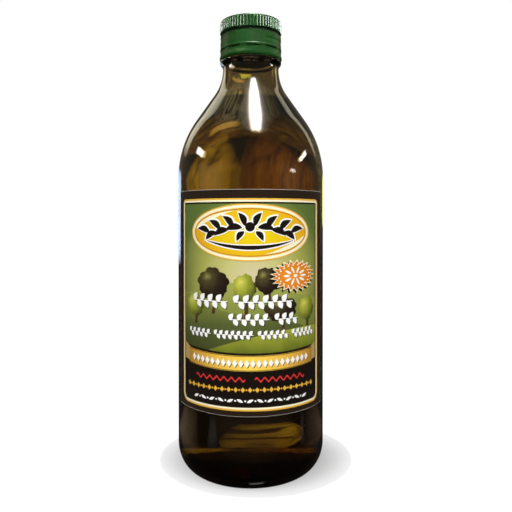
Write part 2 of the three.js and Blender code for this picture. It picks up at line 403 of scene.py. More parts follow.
def rubbed_lacquer(colours):
    """On the grip's ridges, rubbed bright by fingers: each ridge catches a lamp as a white line."""
    return lacquered_aluminium(
        colours, "green_lacquer_rubbed_bright_on_the_grip",
        metallic=0.0, roughness=0.8, coat=1.0, coat_roughness=0.1,
    )


def painted_shade_lacquer(colours):
    """Painted shade between the ridges and in the groove, where light doesn't reach: the lacquer darkened
    nearly to black.
    """
    return lacquered_aluminium(
        colours, "green_lacquer_painted_dark_as_shade_in_the_groove",
        metallic=0.0, roughness=0.8, coat=0.0, coat_roughness=0.4, waves=0.06, shade=0.12,
    )


def bare_aluminium():
    """The cap's uncoated inside and cut edges, mill-finish aluminium: dull grey, with a soft sheen."""
    material, tree, shader, _ = new_material(
        "mill_finish_aluminium", Base_Color=rgba("8d8a7c"), Metallic=1.0, Roughness=0.45
    )
    ripple_surface(tree, shader, 0.7 * MM, 2.0, 0.1, 0.1 * MM)
    return material


def printed_ink(name, colour, spread=0.08, roughness=0.42):
    """Offset ink on coated label paper: an even colour with the slight mottle of the print."""
    found = bpy.data.materials.get(name)
    if found:
        return found
    material, tree, shader, _ = new_material(name, Roughness=roughness, Coat_Weight=0.15, Coat_Roughness=0.3)
    low = [c * (1 - spread) for c in colour]
    high = [min(1.0, c * (1 + spread)) for c in colour]
    cloud_colour(tree, shader, low, high, 0.6 * MM, 2.0)
    return material


def ink(kind):
    """One of the label's plain inks. Gold is a colour that the user may change."""
    _, colours = settings()
    colour = colours.gold if kind == "gold" else hex_colour(PLAIN_INKS[kind])
    return printed_ink(kind + "_offset_ink", colour)


def graded_ink(name, direction, stops, cloud=0.0):
    """Offset ink whose colour runs over the patch, outwards from its middle, sideways or upwards."""
    name += "_gradient_ink"
    found = bpy.data.materials.get(name)
    if found:
        return found
    material, tree, shader, _ = new_material(name, Roughness=0.42, Coat_Weight=0.15, Coat_Roughness=0.3)
    flat = add_node(tree, "ShaderNodeUVMap", uv_map="art").outputs["UV"]
    axes = add_node(tree, "ShaderNodeSeparateXYZ", (flat,))
    along = axes.outputs["Y"]
    if direction == "outwards":
        along = add_node(tree, "ShaderNodeVectorMath", (flat,), operation="LENGTH").outputs["Value"]
    elif direction == "sideways":
        along = add_node(tree, "ShaderNodeMath", (axes.outputs["X"],), operation="ABSOLUTE")
    mist = add_node(tree, "ShaderNodeTexNoise", {"Vector": flat, "Scale": 3.0, "Detail": 4.0})
    drift = add_node(tree, "ShaderNodeMath", (mist, cloud, -0.5 * cloud), operation="MULTIPLY_ADD")
    place = add_node(tree, "ShaderNodeMath", (along, drift), operation="ADD")
    ramp = add_node(tree, "ShaderNodeValToRGB", (place,))
    set_stops(ramp, [(position, hex_colour(text)) for position, text in stops])
    tree.links.new(ramp.outputs["Color"], shader.inputs["Base Color"])
    return material


def label_paper_stock():
    """Wet-glue label paper, uncoated at its back and cut edges: dull white, with a faint fibre."""
    material, tree, shader, _ = new_material("white_wet_glue_label_paper", Roughness=0.75)
    cloud_colour(tree, shader, hex_colour("d8d2c4"), hex_colour("efeadf"), 0.35 * MM, 3.0)
    return material


# Profiles, as (radius, height) points

def arc(centre, across, up, start, end, steps):
    """Points along an ellipse from one angle to another, both ends included."""
    angles = [start + (end - start) * i / steps for i in range(steps + 1)]
    return [(centre[0] + across * math.cos(a), centre[1] + up * math.sin(a)) for a in angles]


def dome(rim, rim_height, height, steps):
    """A shallow dome from the axis out to its rim."""
    sphere = (rim ** 2 + height ** 2) / (2 * height)
    half = math.asin(rim / sphere)
    angles = [half * i / steps for i in range(steps + 1)]
    return [(sphere * math.sin(a), rim_height + height - sphere * (1 - math.cos(a))) for a in angles]


def smooth_between(low, high, steps):
    """An S-curve between two (radius, height) points, upright at both ends."""
    points = []
    for i in range(steps + 1):
        t = i / steps
        s = t * t * (3 - 2 * t)
        points.append((low[0] + (high[0] - low[0]) * s, low[1] + (high[1] - low[1]) * t))
    return points


def shoulder_and_neck(body_inset, neck_inset):
    """One convex arc, a straight cone and one concave arc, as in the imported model."""
    body = GLASS_HIGH.x
    turn_in = 1 - math.cos(CONE_ANGLE)
    cone_inward = body - NECK_RADIUS - (SHOULDER_RADIUS + NECK_SWEEP) * turn_in
    arcs_up = (SHOULDER_RADIUS + NECK_SWEEP) * math.sin(CONE_ANGLE)
    neck_foot = SHOULDER_START + arcs_up + cone_inward / math.tan(CONE_ANGLE)
    shoulder = SHOULDER_RADIUS - body_inset
    sweep = NECK_SWEEP + neck_inset
    low = arc((body - SHOULDER_RADIUS, SHOULDER_START), shoulder, shoulder, 0, CONE_ANGLE, 22)
    high = arc((NECK_RADIUS + NECK_SWEEP, neck_foot), sweep, sweep, math.pi + CONE_ANGLE, math.pi, 18)
    (r0, z0), (r1, z1) = low[-1], high[0]
    cone = [(r0 + (r1 - r0) * i / 6, z0 + (z1 - z0) * i / 6) for i in range(1, 6)]
    return low + cone + high


def outer_glass(sizes):
    """From the middle of the base out over the foot, up the wall and neck, and over the bead to the rim."""
    body = GLASS_HIGH.x
    heel_foot = body - HEEL_WIDTH
    ring_inside = heel_foot - FOOT_RING_WIDTH
    bead_top = CAP_LOW.z - CAP_CLEARANCE
    bead_edge = bead_top - BEAD_LAND
    rim = GLASS_HIGH.z
    points = dome(ring_inside - 0.5 * MM, 0.25 * MM, sizes.push_up - 0.25 * MM, 12)
    points += [(ring_inside, 0.03 * MM), (ring_inside + 0.5 * MM, 0)]
    points += arc((heel_foot, HEEL_HEIGHT), HEEL_WIDTH, HEEL_HEIGHT, -math.pi / 2, 0, 24)
    points += [(body, HEEL_HEIGHT + (SHOULDER_START - HEEL_HEIGHT) * i / 24) for i in range(1, 24)]
    points += shoulder_and_neck(0, 0)
    points += smooth_between((NECK_RADIUS, bead_edge - BEAD_FLARE), (BEAD_RADIUS, bead_edge), 8)
    bead_centre = (BEAD_RADIUS - BEAD_ROUND, bead_top - BEAD_ROUND)
    points += arc(bead_centre, BEAD_ROUND, BEAD_ROUND, 0, math.pi / 2, 4)
    points += [(FINISH_RADIUS, bead_top)]
    edge = MOUTH_ROUND
    points += arc((FINISH_RADIUS - edge, rim - edge), edge, edge, 0, math.pi / 2, 5)
    return points


def inner_glass(sizes, gap):
    """The inside of the glass from the axis up to its neck, set in by a further gap."""
    radius = GLASS_HIGH.x - sizes.wall
    floor_rim = radius - INNER_HEEL_WIDTH
    centre = (floor_rim, FLOOR_THICKNESS + INNER_HEEL_HEIGHT)
    points = dome(floor_rim, FLOOR_THICKNESS + gap, sizes.push_up, 12)
    points += arc(centre, INNER_HEEL_WIDTH - gap, INNER_HEEL_HEIGHT - gap, -math.pi / 2, 0, 18)[1:]
    low = FLOOR_THICKNESS + INNER_HEEL_HEIGHT
    points += [(radius - gap, low + (SHOULDER_START - low) * i / 24) for i in range(1, 24)]
    points += shoulder_and_neck(sizes.wall + gap, NECK_WALL + gap)
    return points


def glass_profile(sizes):
    bore = NECK_RADIUS - NECK_WALL
    edge = MOUTH_ROUND
    mouth = arc((bore + edge, GLASS_HIGH.z - edge), edge, edge, math.pi / 2, math.pi, 5)
    return outer_glass(sizes) + mouth + inner_glass(sizes, 0)[::-1]


def oil_profile(sizes):
    """The oil reaches a little into the wall, so that no air shows, and climbs the glass at its edge."""
    level = OIL_HIGH.z
    side = inner_glass(sizes, -OIL_INTO_WALL)
    crest = level + sizes.meniscus
    above = next(i for i, (r, z) in enumerate(side) if r > 0 and z > crest)
    (r0, z0), (r1, z1) = side[above - 1], side[above]
    edge = r0 + (r1 - r0) * (crest - z0) / (z1 - z0)
    creep = []
    for i in range(1, 9):
        t = i / 8
        creep.append((edge - CREEP_REACH * t, level + sizes.meniscus * (1 - t) ** 3))
    return side[:above] + [(edge, crest)] + creep + [(edge * 0.4, level), (0, level)]


# Geometry Nodes

def node_tree(name, inputs):
    """An empty Geometry Nodes tree with a geometry input and output and the given named inputs."""
    tree = bpy.data.node_groups.new(name, "GeometryNodeTree")
    for label, kind in {"Geometry": "Geometry", **inputs}.items():
        tree.interface.new_socket(label, in_out="INPUT", socket_type="NodeSocket" + kind)
    tree.interface.new_socket("Geometry", in_out="OUTPUT", socket_type="NodeSocketGeometry")
    return tree, tree.nodes.new("NodeGroupInput").outputs


def close_tree(tree, given, geometry):
    """Ends a tree in Realize Instances and Set Material."""
    real = add_node(tree, "GeometryNodeRealizeInstances", {"Geometry": geometry})
    dressed = add_node(tree, "GeometryNodeSetMaterial", {"Geometry": real, "Material": given["Material"]})
    add_node(tree, "NodeGroupOutput", {"Geometry": dressed})


def turning_tree():
    """Turns a profile, drawn out from a small horizontal circle, round the Z axis."""
    tree, given = node_tree("Turn profile", {"Sides": "Int", "Path Radius": "Float", "Material": "Material"})
    profile = add_node(tree, "GeometryNodeMeshToCurve", {"Mesh": given["Geometry"]})
    circle = add_node(
        tree,
        "GeometryNodeCurvePrimitiveCircle",
        {"Resolution": given["Sides"], "Radius": given["Path Radius"]},
    )
    upright = add_node(tree, "GeometryNodeSetCurveNormal", {"Curve": circle}, mode="Z_UP")
    swept = add_node(tree, "GeometryNodeCurveToMesh", {"Curve": upright, "Profile Curve": profile})
    joined = add_node(tree, "GeometryNodeMergeByDistance", {"Geometry": swept, "Distance": 10 * SAME_POINT})
    close_tree(tree, given, joined)
    return tree


def run_tree(name, mesh, tree, **inputs):
    """Runs a tree on a mesh and keeps the result as a plain mesh object."""
    base = add_object(name, mesh)
    modifier = base.modifiers.new("Make", "NODES")
    modifier.node_group = tree
    sockets = {s.name: s.identifier for s in tree.interface.items_tree if s.in_out == "INPUT"}
    for label, value in inputs.items():
        modifier[sockets[label.replace("_", " ")]] = value
    base.update_tag()
    bpy.context.view_layer.update()
    evaluated = base.evaluated_get(bpy.context.evaluated_depsgraph_get())
    result = bpy.data.meshes.new_from_object(evaluated)
    base.modifiers.clear()
    base.data = result
    return base


def tidy_mesh(mesh):
    """Turns every face outwards, shades it smooth and keeps the sharp edges sharp."""
    sharp_angle = math.radians(40)
    work = bmesh.new()
    work.from_mesh(mesh)
    bmesh.ops.recalc_face_normals(work, faces=work.faces)
    for face in work.faces:
        face.smooth = True
    for edge in work.edges:
        edge.smooth = len(edge.link_faces) == 2 and edge.calc_face_angle(0) < sharp_angle
    work.to_mesh(mesh)
    work.free()


def turned_piece(name, profile, sides, material, closed=False):
    """A piece turned round the Z axis from (radius, height) points."""
    path_radius = 10 * MM
    mesh = bpy.data.meshes.new(name)
    # The sweep lays the profile's second axis downwards, so heights go in negated.
    points = [(radius - path_radius, -height, 0) for radius, height in profile]
    edges = [(i, i + 1) for i in range(len(points) - 1)]
    if closed:
        edges.append((len(points) - 1, 0))
    mesh.from_pydata(points, edges, [])
    piece = run_tree(
        name, mesh, turning_tree(), Sides=sides, Path_Radius=path_radius, Material=material
    )
    tidy_mesh(piece.data)
    return piece


def ring_tree():
    """Copies one element round the Z axis."""
    tree, given = node_tree(
        "Copies round the axis", {"Count": "Int", "First Angle": "Float", "Material": "Material"}
    )
    line = add_node(tree, "GeometryNodeMeshLine", {"Count": given["Count"], "Offset": (0, 0, 0)})
    index = add_node(tree, "GeometryNodeInputIndex")
    share = add_node(tree, "ShaderNodeMath", (index, given["Count"]), operation="DIVIDE")
    angle = add_node(
        tree, "ShaderNodeMath", (share, 2 * math.pi, given["First Angle"]), operation="MULTIPLY_ADD"
    )
    turn = add_node(tree, "ShaderNodeCombineXYZ", {"Z": angle})
    copies = add_node(
        tree,
        "GeometryNodeInstanceOnPoints",
        {"Points": line, "Instance": given["Geometry"], "Rotation": turn},
    )
    close_tree(tree, given, copies)
    return tree


def row_tree():
    """Prints one flat element over and over along a row and bends the row round the glass."""
    tree, given = node_tree(
        "Printed row",
        {
            "Count": "Int",
            "Start": "Vector",
            "Step": "Vector",
            "Tilt": "Float",
            "Sag": "Float",
            "Radius": "Float",
            "Material": "Material",
        },
    )
    line = add_node(
        tree,
        "GeometryNodeMeshLine",
        {"Count": given["Count"], "Start Location": given["Start"], "Offset": given["Step"]},
    )
    place = add_node(tree, "GeometryNodeInputPosition")
    along = add_node(tree, "ShaderNodeSeparateXYZ", (place,)).outputs["X"]
    square = add_node(tree, "ShaderNodeMath", (along, along), operation="MULTIPLY")
    lift = add_node(tree, "ShaderNodeMath", (square, given["Sag"]), operation="MULTIPLY")
    lifted = add_node(tree, "ShaderNodeCombineXYZ", {"Y": lift})
    curved = add_node(tree, "GeometryNodeSetPosition", {"Geometry": line, "Offset": lifted})
    index = add_node(tree, "GeometryNodeInputIndex")
    odd = add_node(tree, "ShaderNodeMath", (index, 2.0), operation="MODULO")
    side = add_node(tree, "ShaderNodeMath", (odd, -2.0, 1.0), operation="MULTIPLY_ADD")
    angle = add_node(tree, "ShaderNodeMath", (side, given["Tilt"]), operation="MULTIPLY")
    turn = add_node(tree, "ShaderNodeCombineXYZ", {"Z": angle})
    copies = add_node(
        tree,
        "GeometryNodeInstanceOnPoints",
        {"Points": curved, "Instance": given["Geometry"], "Rotation": turn},
    )
    flat = add_node(tree, "GeometryNodeRealizeInstances", {"Geometry": copies})
    here = add_node(tree, "GeometryNodeInputPosition")
    axes = add_node(tree, "ShaderNodeSeparateXYZ", (here,)).outputs
    round_angle = add_node(tree, "ShaderNodeMath", (axes["X"], given["Radius"]), operation="DIVIDE")
    reach = add_node(tree, "ShaderNodeMath", (axes["Z"], given["Radius"]), operation="ADD")
    sine = add_node(tree, "ShaderNodeMath", (round_angle,), operation="SINE")
    cosine = add_node(tree, "ShaderNodeMath", (round_angle,), operation="COSINE")
    across = add_node(tree, "ShaderNodeMath", (sine, reach), operation="MULTIPLY")
    depth = add_node(tree, "ShaderNodeMath", (cosine, reach), operation="MULTIPLY")
    behind = add_node(tree, "ShaderNodeMath", (depth, -1.0), operation="MULTIPLY")
    bent = add_node(tree, "ShaderNodeCombineXYZ", (across, behind, axes["Y"]))
    wrapped = add_node(tree, "GeometryNodeSetPosition", {"Geometry": flat, "Position": bent})
    close_tree(tree, given, wrapped)
    return tree


def keep(piece, slot, *nodes):
    """Puts a finished piece on the bottle and hides the nodes that it stands for. Its slot is not used."""
    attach(piece, BODY)
    if nodes:
        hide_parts(*nodes)
    return piece


# Cap

def swell(radius, proud, start, end, steps, power):
    """A rounded bead, or a groove where proud is negative, between two heights."""
    shares = [i / steps for i in range(steps + 1)]
    return [(radius + proud * math.sin(math.pi * t) ** power, start + (end - start) * t) for t in shares]


def cap_skirt_profile():
    """Top, grip, groove, smooth skirt and lip outside, then back up the inside."""
    top, edge, radius = CAP_HIGH.z, 1.0 * MM, SHEET_RADIUS
    grip, grip_middle = radius - 0.02 * MM, 259.5 * MM
    smooth_top, smooth_steps = GROOVE_BOTTOM - 0.2 * MM, 26
    lip, lip_top = 0.22 * MM, 247.3 * MM
    points = [(0, top), (8 * MM, top), (15 * MM, top)]
    points += arc((radius - edge, top - edge), edge, edge, math.pi / 2, 0, 8)
    points += [(grip, grip_middle), (grip, GROOVE_TOP + 0.3 * MM)]
    groove = swell(radius, -GROOVE_DEPTH, GROOVE_TOP, GROOVE_BOTTOM, 12, 0.5)
    points += groove
    points += [(radius, smooth_top + (lip_top - smooth_top) * i / smooth_steps) for i in range(smooth_steps)]
    points += swell(radius, lip, lip_top, SLIT_TOP, 8, 0.8)
    inside, ceiling = radius - SHEET, top - 0.9 * MM
    points += [(inside, SLIT_TOP), (inside, smooth_top)]
    points += [(r - SHEET, z) for r, z in groove[::-1]]
    return points + [(inside, top - 1.6 * MM), (inside - 0.6 * MM, ceiling), (0, ceiling)]


def tamper_band_profile():
    """The band's outside with its bead, then its edge rolled in under the glass bead, and its inside."""
    low, radius, inside = CAP_LOW.z, SHEET_RADIUS, SHEET_RADIUS - SHEET
    bead_low, bead_high, proud = 240.5 * MM, 243.2 * MM, 0.48 * MM
    points = [(inside, SLIT_BOTTOM), (radius + 0.06 * MM, SLIT_BOTTOM), (radius, SLIT_BOTTOM - 0.5 * MM)]
    points += swell(radius, proud, bead_high, bead_low, 12, 0.8)
    points += [(radius - 0.12 * MM, low + 0.08 * MM), (radius - 0.35 * MM, low)]
    return points + [(inside - 0.12 * MM, low + 0.15 * MM), (inside, low + 0.8 * MM), (inside, bead_high)]


def roll_thread(mesh):
    """Presses the start of the screw thread into the smooth skirt, as the capping rollers do."""
    start, turn_span = math.radians(26), math.radians(300)
    run_in, run_out = math.radians(7), math.radians(30)
    low, pitch, depth, half_width = 250.3 * MM, 3.2 * MM, 0.3 * MM, 0.75 * MM
    skirt_low, skirt_high, skirt_inside = 248 * MM, 254.3 * MM, 17.9 * MM
    for vertex in mesh.vertices:
        x, y, z = vertex.co
        radius = math.hypot(x, y)
        if not skirt_low < z < skirt_high or radius < skirt_inside:
            continue
        along = (math.atan2(x, -y) - start) % (2 * math.pi)
        middle = low + pitch * along / (2 * math.pi)
        fade_in = min(1.0, along / run_in)
        fade_out = min(1.0, max(0.0, (turn_span - along) / run_out))
        press = depth * math.exp(-(((z - middle) / half_width) ** 2)) * fade_in * fade_out
        vertex.co.x *= (radius - press) / radius
        vertex.co.y *= (radius - press) / radius


def on_round(radius, angle, height):
    """A place on an upright cylinder. Angle 0 is in front, and it grows to the right."""
    return (radius * math.sin(angle), -radius * math.cos(angle), height)


def plain_mesh(name, work):
    mesh = bpy.data.meshes.new(name)
    work.to_mesh(mesh)
    work.free()
    return mesh


def flute_mesh(depth):
    """One upright ridge of the grip, at the front, its ends run out into the cap."""
    half, across = 0.62 * MM, 6
    root, face, foot, head = 17.85 * MM, 18.05 * MM, GROOVE_TOP, 262.75 * MM
    # Share of the way up the ridge, and of its full depth there
    rows = ((0, 0.1), (0.05, 0.75), (0.12, 1), (0.9, 1), (0.96, 0.75), (1, 0.1))
    work = bmesh.new()
    grid = []
    for along, share in rows:
        row = []
        for j in range(across + 1):
            a = -1 + 2 * j / across
            radius = face + depth * share * math.cos(a * math.pi / 2) ** 0.8
            row.append(work.verts.new(on_round(radius, a * half / face, foot + (head - foot) * along)))
        grid.append(row)
    back = []
    for row in (grid[0], grid[-1]):
        pair = []
        for v in (row[0], row[-1]):
            scale = root / math.hypot(v.co.x, v.co.y)
            pair.append(work.verts.new((v.co.x * scale, v.co.y * scale, v.co.z)))
        back.append(pair)
    for low, high in zip(grid, grid[1:]):
        for j in range(across):
            work.faces.new((low[j], low[j + 1], high[j + 1], high[j]))
    for row, pair in zip((grid[0], grid[-1]), back):
        work.faces.new([*row, pair[1], pair[0]])
    for side in (0, 1):
        work.faces.new([row[-side] for row in grid] + [back[1][side], back[0][side]])
    work.faces.new((back[0][0], back[0][1], back[1][1], back[1][0]))
    return plain_mesh("flute", work)


def bridge_mesh(span):
    """One bridge between skirt and band: a short piece of the sheet, at the front."""
    inside, outside = 17.76 * MM, 18.12 * MM
    low, high, steps = SLIT_BOTTOM - 0.1 * MM, SLIT_TOP + 0.1 * MM, 4
    work = bmesh.new()
    rings = []
    for i in range(steps + 1):
        a = -span / 2 + span * i / steps
        corners = ((inside, low), (outside, low), (outside, high), (inside, high))
        rings.append([work.verts.new(on_round(r, a, z)) for r, z in corners])
    for near, far in zip(rings, rings[1:]):
        for j in range(4):
            work.faces.new((near[j], near[(j + 1) % 4], far[(j + 1) % 4], far[j]))
    work.faces.new(rings[0])
    work.faces.new(rings[-1])
    return plain_mesh("bridge", work)


def bare_inside(piece, metal):
    """Leaves the sheet's inside and its cut edges without lacquer."""
    piece.data.materials.append(metal)
    for face in piece.data.polygons:
        outwards = Vector((face.center.x, face.center.y, 0)).normalized()
        if face.normal.dot(outwards) < -0.3 or face.center.z < CAP_LOW.z + 0.12 * MM:
            face.material_index = 1


def join_pieces(name, pieces):
    """Joins several plain mesh objects into the first and names it."""
    for piece in bpy.context.selected_objects:
        piece.select_set(False)
    for piece in pieces:
        piece.select_set(True)
    bpy.context.view_layer.objects.active = pieces[0]
    bpy.ops.object.join()
    pieces[0].name = name
    pieces[0].data.name = name
    return pieces[0]


# Label

def art_mesh(outlines, low, high, uv_centre=(0, 0), uv_size=(50 * MM, 50 * MM)):
    """A closed thin patch for each outline, cut fine enough to bend round the glass."""
    work = bmesh.new()
    layer = work.loops.layers.uv.new("art")
    for outline in outlines:
        face = work.faces.new([work.verts.new((u, v, low)) for u, v in outline])
        face.normal_update()
        bmesh.ops.triangulate(work, faces=[face])
    bmesh.ops.remove_doubles(work, verts=work.verts[:], dist=SAME_POINT)
    across = [v.co.x for v in work.verts]
    for i in range(math.ceil(min(across) / STEP_ROUND), math.floor(max(across) / STEP_ROUND) + 1):
        bmesh.ops.bisect_plane(
            work,
            geom=work.verts[:] + work.edges[:] + work.faces[:],
            plane_co=(i * STEP_ROUND, 0, 0),
            plane_no=(1, 0, 0),
            dist=SAME_POINT,
        )
    raised = bmesh.ops.extrude_face_region(work, geom=work.faces[:], use_keep_orig=True)
    for item in raised["geom"]:
        if isinstance(item, bmesh.types.BMVert):
            item.co.z = high
    for face in work.faces:
        for loop in face.loops:
            u, v = loop.vert.co.x - uv_centre[0], loop.vert.co.y - uv_centre[1]
            loop[layer].uv = (u / uv_size[0], v / uv_size[1])
    return work


def finish_art(name, work, material):
    """Bends flat artwork, drawn as (along, up, out), round the bottle and makes it a piece."""
    for vertex in work.verts:
        along, up, out = vertex.co
        vertex.co = on_round(LABEL_RADIUS + out, along / LABEL_RADIUS, up)
    bmesh.ops.recalc_face_normals(work, faces=work.faces)
    mesh = plain_mesh(name, work)
    mesh.materials.append(material)
    return add_object(name, mesh)


def turned(base, x, y, angle):
    """A point at x, y from its base, turned about it."""
    c, s = math.cos(angle), math.sin(angle)
    return (base[0] + x * c - y * s, base[1] + x * s + y * c)


def ellipse(centre, across, up, steps=72, turn=0.0):
    angles = [2 * math.pi * i / steps for i in range(steps)]
    return [turned(centre, across * math.cos(a), up * math.sin(a), turn) for a in angles]


def rounded_rectangle(half_width, low, high, corner_low, corner_high, steps=8):
    corners = (
        ((half_width - corner_low, low + corner_low), corner_low, -90),
        ((half_width - corner_high, high - corner_high), corner_high, 0),
        ((-half_width + corner_high, high - corner_high), corner_high, 90),
        ((-half_width + corner_low, low + corner_low), corner_low, 180),
    )
    points = []
    for centre, radius, start in corners:
        points += arc(centre, radius, radius, math.radians(start), math.radians(start + 90), steps)
    return points


def ring_outlines(outer, inner):
    """A closed band between two outlines with the same number of points, as four-cornered patches."""
    ahead = [*range(1, len(outer)), 0]
    return [[outer[i], outer[j], inner[j], inner[i]] for i, j in enumerate(ahead)]


def starburst(centre, across, up, points=21, depth=0.24):
    outline = []
    for i in range(points * 2):
        a = math.pi * i / points
        reach = 1.0 if i % 2 == 0 else 1 - depth
        outline.append((centre[0] + across * reach * math.cos(a), centre[1] + up * reach * math.sin(a)))
    return outline


def leaf_outline(base, length, width, angle, steps, bow=0.12):
    """A slender pointed leaf from its stalk, slightly bowed."""
    sides = ([], [])
    for i in range(steps + 1):
        t = i / steps
        half = width / 2 * math.sin(math.pi * t ** 0.85) ** 0.9
        spine = bow * length * math.sin(math.pi * t)
        for side, sign in zip(sides, (1, -1)):
            side.append(turned(base, length * t, spine + sign * half, angle))
    return sides[1] + sides[0][-2:0:-1]


def band_outline(left, right, height, curve, steps=60):
    """A band of even height whose middle follows a curve."""
    xs = [left + (right - left) * i / steps for i in range(steps + 1)]
    low = [(x, curve(x) - height / 2) for x in xs]
    high = [(x, curve(x) + height / 2) for x in xs]
    return low + high[::-1]


def ink_level(layer):
    """The bottom and top of an ink layer above the paper. Each layer sinks a little into the one below."""
    return (layer - INK_OVERLAP) * INK_LAYER, layer * INK_LAYER


def print_patch(name, outlines, layer, material, **uv):
    return finish_art(name, art_mesh(outlines, *ink_level(layer), **uv), material)


def print_row(name, outline, layer, material, count, start, step, tilt=0.0, sag=0.0):
    """A row of one flat element, each copy tilted to the other side of the one before."""
    work = art_mesh([outline], *ink_level(layer))
    bmesh.ops.recalc_face_normals(work, faces=work.faces)
    return run_tree(
        name, plain_mesh(name, work), row_tree(), Count=count, Start=(*start, 0.0), Step=(*step, 0.0),
        Tilt=tilt, Sag=sag, Radius=LABEL_RADIUS, Material=material,
    )


# Finished pieces

def settings():
    scene = bpy.context.scene
    return scene.oil_bottle_sizes, scene.oil_bottle_colours


def make_glass():
    sizes, colours = settings()
    piece = turned_piece("glass_bottle", glass_profile(sizes), TURNED_SIDES, container_glass(colours))
    keep(piece, "glass", "bottle_glass")


def make_oil():
    sizes, colours = settings()
    piece = turned_piece("oil", oil_profile(sizes), TURNED_SIDES, olive_oil_liquid(colours))
    keep(piece, "oil", "olive_oil")


def make_cap():
    """Skirt, tamper band, grip ridges and bridges. Lacquer is painted dark as shade in the groove and between
    the ridges.
    """
    sizes, colours = settings()
    lacquer, metal = satin_lacquer(colours), bare_aluminium()
    skirt = turned_piece("cap_skirt", cap_skirt_profile(), SKIRT_SIDES, lacquer)
    roll_thread(skirt.data)
    bare_inside(skirt, metal)
    skirt.data.materials.append(painted_shade_lacquer(colours))
    # Lacquer in the groove and on the grip between the ridges is painted dark, as the shade there.
    for face in skirt.data.polygons:
        if face.material_index == 0 and PAINTED_SHADE_LOW < face.center.z < PAINTED_SHADE_HIGH:
            face.material_index = 2
    band = turned_piece("cap_band", tamper_band_profile(), BAND_SIDES, lacquer, closed=True)
    bare_inside(band, metal)
    flutes = run_tree(
        "cap_flutes", flute_mesh(sizes.flute_depth), ring_tree(),
        Count=sizes.flutes, First_Angle=0.0, Material=rubbed_lacquer(colours),
    )
    spacing = 2 * math.pi / sizes.bridges
    bridges = run_tree(
        "cap_bridges", bridge_mesh(spacing - SLIT_ANGLE), ring_tree(),
        Count=sizes.bridges, First_Angle=FIRST_SLIT + spacing / 2, Material=lacquer,
    )
    keep(skirt, "cap", "screw_cap")
    keep(band, "cap")
    for piece in (flutes, bridges):
        tidy_mesh(piece.data)
        keep(piece, "cap")


def inset_frame(inset):
    """The label frame's outline, set in by a distance, its corners smaller by as much."""
    half, low, high = LABEL_FRAME
    corner_low = max(0.1 * MM, 5 * MM - inset)
    corner_high = max(0.1 * MM, 2.5 * MM - inset)
    return rounded_rectangle(half - inset, low + inset, high - inset, corner_low, corner_high)


def make_label_paper():
    _, colours = settings()
    half, corner, edge = LABEL_HALF_ANGLE * LABEL_RADIUS, 0.6 * MM, 0.12 * MM
    low, high = LABEL_LOW.z, LABEL_HIGH.z
    sheet = rounded_rectangle(half, low, high, corner, corner, 3)
    paper = finish_art("label_sheet", art_mesh([sheet], -PAPER_THICKNESS, 0), label_paper_stock())
    printed = rounded_rectangle(half - edge, low + edge, high - edge, corner, corner, 3)
    ground = printed_ink("dark_brown_offset_ink", colours.paper, 0.12, 0.38)
    black = print_patch("black_ground", [printed], 1, ground)
    keep(join_pieces("label_paper", [paper, black]), "label", "front_label")


def make_label_frame():
    lines = []
    for kind, outer, inner in (("gold", 0, 0.9), ("cream", 0.9, 1.9), ("black", 1.9, 2.7)):
        rings = ring_outlines(inset_frame(outer * MM), inset_frame(inner * MM))
        lines.append(print_patch(kind + "_line", rings, 5, ink(kind)))
    lines.append(print_patch("lower_field", [inset_frame(2.6 * MM)], 2, ink("black")))
    keep(join_pieces("label_frame", lines), "label")


def hill(curve, steps=48):
    """Ground under a skyline, down to the picture's foot."""
    half, foot, _ = PICTURE
    us = [-half + 2 * half * i / steps for i in range(steps + 1)]
    return [(u, curve(u)) for u in us] + [(half, foot), (-half, foot)]


def skyline(height, slope, bow, wave, turn, start):
    """A hill's height in metres along the label, from its figures in mm."""
    def curve(u):
        x = u / MM
        return (height + slope * x + bow * x ** 2 + wave * math.sin(turn * x + start)) * MM
    return curve


def tree_crown(centre, across, up, seed, steps=54):
    """A round leafy crown with a scalloped edge, of three waves."""
    outline = []
    for i in range(steps):
        a = 2 * math.pi * i / steps
        swell = 1 + 0.06 * math.sin(5 * a + seed) + 0.045 * math.sin(11 * a + 2.3 * seed)
        swell += 0.02 * math.sin(23 * a)
        outline.append((centre[0] + across * swell * math.cos(a), centre[1] + up * swell * math.sin(a)))
    return outline


def trunk(foot, head, width):
    """A stem that leans and thins towards the crown."""
    (x0, y0), (x1, y1) = foot, head
    lean = 0.12 * (y1 - y0)
    middle = ((x0 + x1) / 2 + lean, (y0 + y1) / 2)
    left, right = [], []
    for i in range(9):
        t = i / 8
        x = (1 - t) ** 2 * x0 + 2 * t * (1 - t) * middle[0] + t * t * x1
        y = (1 - t) ** 2 * y0 + 2 * t * (1 - t) * middle[1] + t * t * y1
        half = width / 2 * (1.25 - 0.6 * t)
        left.append((x - half, y))
        right.append((x + half, y))
    return left + right[::-1]


